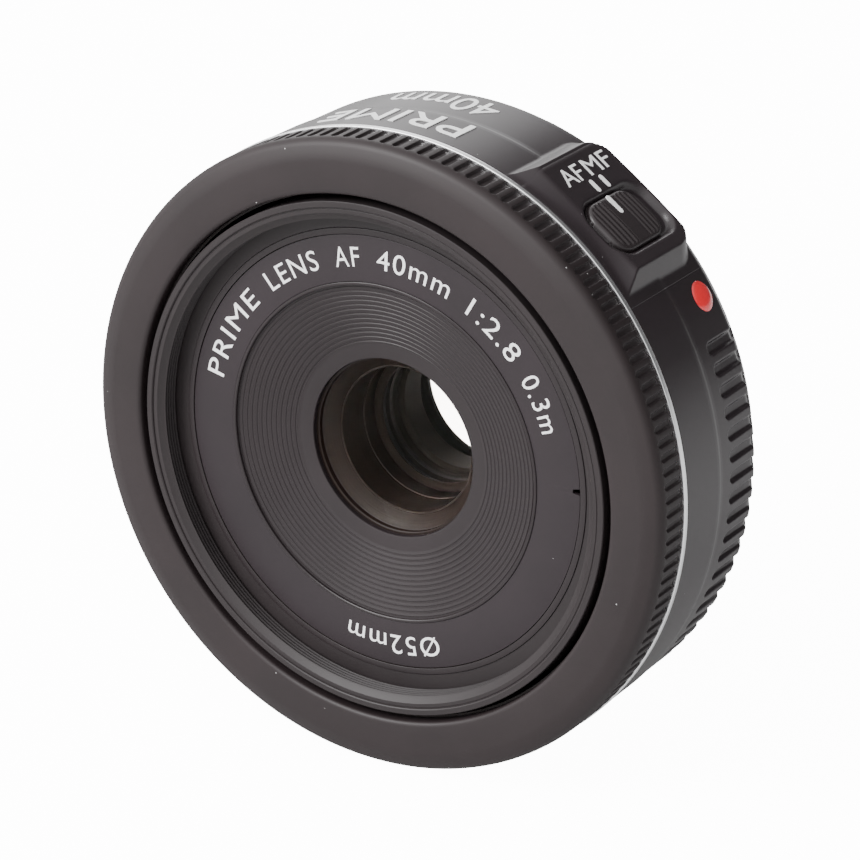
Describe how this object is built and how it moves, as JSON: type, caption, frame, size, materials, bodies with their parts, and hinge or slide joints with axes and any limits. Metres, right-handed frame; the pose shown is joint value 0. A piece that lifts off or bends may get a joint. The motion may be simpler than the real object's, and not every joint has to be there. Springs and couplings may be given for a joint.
{
  "type": "prime camera lens",
  "caption": "Low autofocus camera lens: a fixed barrel with a bayonet, a free-turning knurled focus ring, a focus switch and an extending optical unit with an iris.",
  "frame": {"origin": "centre of the bayonet flange face that rests against the camera body", "axes": "+Y along the optical axis towards the camera (the front looks to -Y), +Z towards the top of the lens, +X to the right seen from the front"},
  "size_m": [0.0682, 0.028, 0.0682],
  "materials": {
    "gloss_black": "gloss moulded plastic",
    "ring_black": "fine matte plastic",
    "silver": "satin turned metal",
    "red_paint": "gloss enamel",
    "mount_metal": "satin chromed brass",
    "screw_steel": "machined steel",
    "matte_black": "matte light-trap plastic",
    "gold_contact": "gold plate",
    "circuit": "solder mask",
    "chip": "moulded package",
    "motor_can": "drawn can",
    "flex_film": "polyimide film",
    "gear_white": "moulded acetal",
    "brass_gear": "cut brass",
    "cam_metal": "black anodised",
    "name_plate": "satin paint",
    "blade_steel": "blackened steel foil",
    "white_print": "printed lettering and marks",
    "coated_glass": "coated optical glass"
  },
  "bodies": {
    "barrel": {"main_barrel": "gloss_black", "trim_ring": "silver", "index_dot": "red_paint", "bayonet_mount": "mount_metal", "mount_screws": "screw_steel", "rear_light_baffle": "matte_black", "contact_block": "matte_black", "contact_pins": "gold_contact", "guide_barrel": "cam_metal", "guide_screws": "screw_steel", "cam_ring_retainer": "silver", "circuit_board": "circuit", "circuit_chips": "chip", "focus_motor": "motor_can", "motor_bracket": "motor_can", "bracket_screws": "screw_steel", "gear_shaft": "screw_steel", "service_flex": "flex_film", "rotation_sensors": "chip", "switch_board": "circuit"},
    "focus_ring": {"focus_ring": "ring_black", "encoder_ring": "silver"},
    "switch": {"switch_knob": "matte_black", "switch_wiper": "gold_contact"},
    "cam_ring": {"cam_ring": "cam_metal"},
    "reduction_gear": {"reduction_gear": "gear_white"},
    "motor_pinion": {"motor_pinion": "brass_gear"},
    "lens_unit": {"inner_barrel": "matte_black", "follower_pins": "silver", "filter_ring": "matte_black", "name_ring": "name_plate", "stepped_baffle": "matte_black", "front_cell": "matte_black", "front_element": "coated_glass", "spacer_ring": "matte_black", "second_element": "coated_glass", "third_element": "coated_glass", "iris_housing": "matte_black", "iris_cover": "matte_black", "iris_motor": "motor_can", "iris_unit_screws": "screw_steel", "rear_cell": "matte_black", "fourth_element": "coated_glass", "fifth_element": "coated_glass", "rear_element": "coated_glass", "rear_retaining_ring": "matte_black"},
    "iris_drive_ring": {"iris_drive_ring": "cam_metal"},
    "iris_pinion": {"iris_pinion": "gear_white"},
    "iris_blade_1": {"iris_blade_1": "blade_steel"},
    "iris_blade_2": {"iris_blade_2": "blade_steel"},
    "iris_blade_3": {"iris_blade_3": "blade_steel"},
    "iris_blade_4": {"iris_blade_4": "blade_steel"},
    "iris_blade_5": {"iris_blade_5": "blade_steel"},
    "iris_blade_6": {"iris_blade_6": "blade_steel"},
    "iris_blade_7": {"iris_blade_7": "blade_steel"}
  },
  "joints": [
    {"name": "focus_ring_turn", "type": "hinge", "parent": "barrel", "child": "focus_ring", "pos_m": [0, 0, 0], "axis": [0, -1, 0], "continuous": true},
    {"name": "switch_slide", "type": "slide", "parent": "barrel", "child": "switch", "axis": [0, 1, 0], "range_m": [0, 0.0019]},
    {"name": "cam_ring_turn", "type": "hinge", "parent": "barrel", "child": "cam_ring", "pos_m": [0, 0, 0], "axis": [0, -1, 0], "range_deg": [-0.2, 100.2]},
    {"name": "reduction_gear_turn", "type": "hinge", "parent": "barrel", "child": "reduction_gear", "pos_m": [-0.02371, 0, -0.01369], "axis": [0, -1, 0], "range_deg": [-1, 1242.7]},
    {"name": "motor_pinion_turn", "type": "hinge", "parent": "barrel", "child": "motor_pinion", "pos_m": [-0.0177, 0, -0.01409], "axis": [0, -1, 0], "range_deg": [-3726, 1]},
    {"name": "lens_unit_slide", "type": "slide", "parent": "barrel", "child": "lens_unit", "axis": [0, -1, 0], "range_m": [0, 0.0055], "deforming": ["service_flex"]},
    {"name": "iris_ring_turn", "type": "hinge", "parent": "lens_unit", "child": "iris_drive_ring", "pos_m": [0, 0, 0], "axis": [0, -1, 0], "range_deg": [0, 24]},
    {"name": "iris_pinion_turn", "type": "hinge", "parent": "lens_unit", "child": "iris_pinion", "pos_m": [0.01672, 0, 0.00543], "axis": [0, -1, 0], "range_deg": [-211, 1]},
    {"name": "iris_blade_1_swing", "type": "hinge", "parent": "lens_unit", "child": "iris_blade_1", "pos_m": [0.0129, 0, 0], "axis": [0, -1, 0], "range_deg": [-0.5, 29.7]},
    {"name": "iris_blade_2_swing", "type": "hinge", "parent": "lens_unit", "child": "iris_blade_2", "pos_m": [0.00804, 0, 0.01009], "axis": [0, -1, 0], "range_deg": [-0.5, 29.7]},
    {"name": "iris_blade_3_swing", "type": "hinge", "parent": "lens_unit", "child": "iris_blade_3", "pos_m": [-0.00287, 0, 0.01258], "axis": [0, -1, 0], "range_deg": [-0.5, 29.7]},
    {"name": "iris_blade_4_swing", "type": "hinge", "parent": "lens_unit", "child": "iris_blade_4", "pos_m": [-0.01162, 0, 0.0056], "axis": [0, -1, 0], "range_deg": [-0.5, 29.7]},
    {"name": "iris_blade_5_swing", "type": "hinge", "parent": "lens_unit", "child": "iris_blade_5", "pos_m": [-0.01162, 0, -0.0056], "axis": [0, -1, 0], "range_deg": [-0.5, 29.7]},
    {"name": "iris_blade_6_swing", "type": "hinge", "parent": "lens_unit", "child": "iris_blade_6", "pos_m": [-0.00287, 0, -0.01258], "axis": [0, -1, 0], "range_deg": [-0.5, 29.7]},
    {"name": "iris_blade_7_swing", "type": "hinge", "parent": "lens_unit", "child": "iris_blade_7", "pos_m": [0.00804, 0, -0.01009], "axis": [0, -1, 0], "range_deg": [-0.5, 29.7]}
  ],
  "couplings": [
    {"joint": "cam_ring_turn", "follows": "lens_unit_slide", "rad_per_m": 317.33},
    {"joint": "reduction_gear_turn", "follows": "lens_unit_slide", "rad_per_m": 3940.2},
    {"joint": "motor_pinion_turn", "follows": "lens_unit_slide", "rad_per_m": -11821},
    {"joint": "iris_pinion_turn", "follows": "iris_ring_turn", "ratio": -8.75},
    {"joint": "iris_blade_1_swing", "follows": "iris_ring_turn", "ratio": 1.2167},
    {"joint": "iris_blade_2_swing", "follows": "iris_ring_turn", "ratio": 1.2167},
    {"joint": "iris_blade_3_swing", "follows": "iris_ring_turn", "ratio": 1.2167},
    {"joint": "iris_blade_4_swing", "follows": "iris_ring_turn", "ratio": 1.2167},
    {"joint": "iris_blade_5_swing", "follows": "iris_ring_turn", "ratio": 1.2167},
    {"joint": "iris_blade_6_swing", "follows": "iris_ring_turn", "ratio": 1.2167},
    {"joint": "iris_blade_7_swing", "follows": "iris_ring_turn", "ratio": 1.2167}
  ]
}
